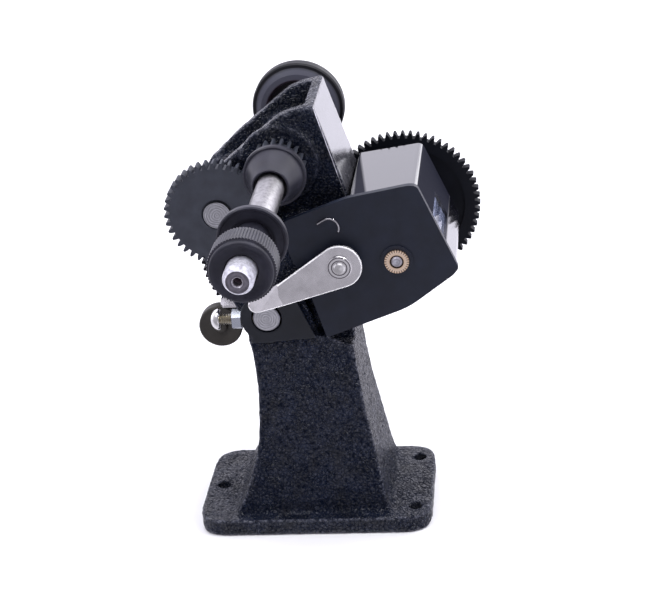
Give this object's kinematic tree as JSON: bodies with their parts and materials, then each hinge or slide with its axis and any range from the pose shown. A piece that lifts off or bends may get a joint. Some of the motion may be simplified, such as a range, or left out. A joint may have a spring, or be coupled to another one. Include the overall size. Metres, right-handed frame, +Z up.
{
  "type": "hand-cranked coil winder",
  "caption": "Bench coil winding machine: cast stand, clamping cones on a geared spindle, hand crank, geared turns counter with reset lever.",
  "frame": {"origin": "centre of the base plate's underside", "axes": "+Z up, +Y along the spindle away from its free end, +X towards the counter"},
  "size_m": [0.136, 0.2593, 0.1986],
  "materials": {
    "cast_crackle": "black crackle paint",
    "bearing_bronze": "oiled bronze",
    "bright_steel": "satin ground steel",
    "black_oxide": "satin black",
    "gear_black": "matte black",
    "gear_steel": "cut steel",
    "nickel": "satin nickel",
    "brass": "satin",
    "zinc": "zinc plate",
    "counter_matte": "matte blue-black",
    "counter_gloss": "gloss black",
    "window": "clear",
    "digit_white": "white with black numbers",
    "grip_black": "black",
    "roller_dark": "dark brown-grey",
    "screw_brown": "yellowed plating"
  },
  "bodies": {
    "frame": {"frame_casting": "cast_crackle", "spindle_bushes": "bearing_bronze", "lay_bushes": "bearing_bronze", "crank_bushes": "bearing_bronze", "friction_screw": "screw_brown", "friction_lock_nut": "zinc", "friction_pad": "bearing_bronze", "counter_front_plate": "counter_matte", "counter_back_plate": "counter_matte", "counter_cover": "counter_gloss", "counter_window": "window", "counter_spacers": "zinc", "counter_screws": "zinc", "counter_front_bush": "brass", "counter_rear_bush": "brass", "transfer_shaft": "zinc", "transfer_pinions": "brass", "reset_rivet": "zinc", "reset_collar": "nickel", "spring_wire": "bright_steel", "guide_bracket": "nickel", "guide_pin": "roller_dark", "guide_screw": "zinc"},
    "spindle": {"spindle": "bright_steel", "spindle_pinion": "gear_black", "rear_cone": "black_oxide", "handwheel": "black_oxide", "handwheel_nut": "zinc"},
    "front_cone": {"front_cone": "black_oxide"},
    "clamp_nut": {"clamp_nut": "black_oxide"},
    "lay": {"lay_shaft": "bright_steel", "lay_gear": "gear_black", "lay_pinion": "gear_steel"},
    "crank": {"crank_shaft": "bright_steel", "crank_gear": "gear_black", "counter_driver": "gear_black", "crank_arm": "nickel", "crank_screw": "zinc", "grip_pin": "zinc"},
    "grip": {"crank_grip": "grip_black"},
    "counter_input": {"counter_input_shaft": "bright_steel", "counter_gear": "gear_black", "counter_gear_hub": "brass", "units_wheel": "digit_white"},
    "tens": {"tens_wheel": "digit_white"},
    "hundreds": {"hundreds_wheel": "digit_white"},
    "thousands": {"thousands_wheel": "digit_white"},
    "lever": {"reset_lever": "nickel"},
    "roller": {"guide_roller": "roller_dark"}
  },
  "joints": [
    {"name": "crank_turn", "type": "hinge", "parent": "frame", "child": "crank", "pos_m": [-0.0128, 0, 0.1081], "axis": [0, 1, 0], "continuous": true},
    {"name": "grip_spin", "type": "hinge", "parent": "crank", "child": "grip", "pos_m": [-0.0128, 0, 0.0561], "axis": [0, 1, 0], "continuous": true},
    {"name": "lay_spin", "type": "hinge", "parent": "frame", "child": "lay", "pos_m": [-0.03126, 0, 0.15403], "axis": [0, 1, 0], "continuous": true},
    {"name": "spindle_spin", "type": "hinge", "parent": "frame", "child": "spindle", "pos_m": [-0.00348, 0, 0.17319], "axis": [0, 1, 0], "continuous": true},
    {"name": "counter_input_spin", "type": "hinge", "parent": "frame", "child": "counter_input", "pos_m": [0.04623, 0, 0.13316], "axis": [0, 1, 0], "continuous": true},
    {"name": "tens_spin", "type": "hinge", "parent": "frame", "child": "tens", "pos_m": [0.04623, 0, 0.13316], "axis": [0, 1, 0], "continuous": true},
    {"name": "hundreds_spin", "type": "hinge", "parent": "frame", "child": "hundreds", "pos_m": [0.04623, 0, 0.13316], "axis": [0, 1, 0], "continuous": true},
    {"name": "thousands_spin", "type": "hinge", "parent": "frame", "child": "thousands", "pos_m": [0.04623, 0, 0.13316], "axis": [0, 1, 0], "continuous": true},
    {"name": "cone_slide", "type": "slide", "parent": "spindle", "child": "front_cone", "axis": [0, 1, 0], "range_m": [0, 0.02]},
    {"name": "nut_turn", "type": "hinge", "parent": "front_cone", "child": "clamp_nut", "pos_m": [-0.00348, 0, 0.17319], "axis": [0, 1, 0], "range_deg": [0, 4200]},
    {"name": "lever_turn", "type": "hinge", "parent": "frame", "child": "lever", "pos_m": [0.0219, 0, 0.1335], "axis": [0, -1, 0], "range_deg": [0, 25], "stiffness_Nm_per_rad": 0.02},
    {"name": "roller_spin", "type": "hinge", "parent": "frame", "child": "roller", "pos_m": [-0.0379, 0, 0.0949], "axis": [0, 1, 0], "continuous": true}
  ],
  "couplings": [
    {"joint": "lay_spin", "follows": "crank_turn", "ratio": -4.5},
    {"joint": "spindle_spin", "follows": "crank_turn", "ratio": 9},
    {"joint": "counter_input_spin", "follows": "crank_turn", "ratio": -0.9},
    {"joint": "tens_spin", "follows": "crank_turn", "ratio": -0.09},
    {"joint": "hundreds_spin", "follows": "crank_turn", "ratio": -0.009},
    {"joint": "thousands_spin", "follows": "crank_turn", "ratio": -0.0009},
    {"joint": "nut_turn", "follows": "cone_slide", "rad_per_m": 3590.4}
  ]
}
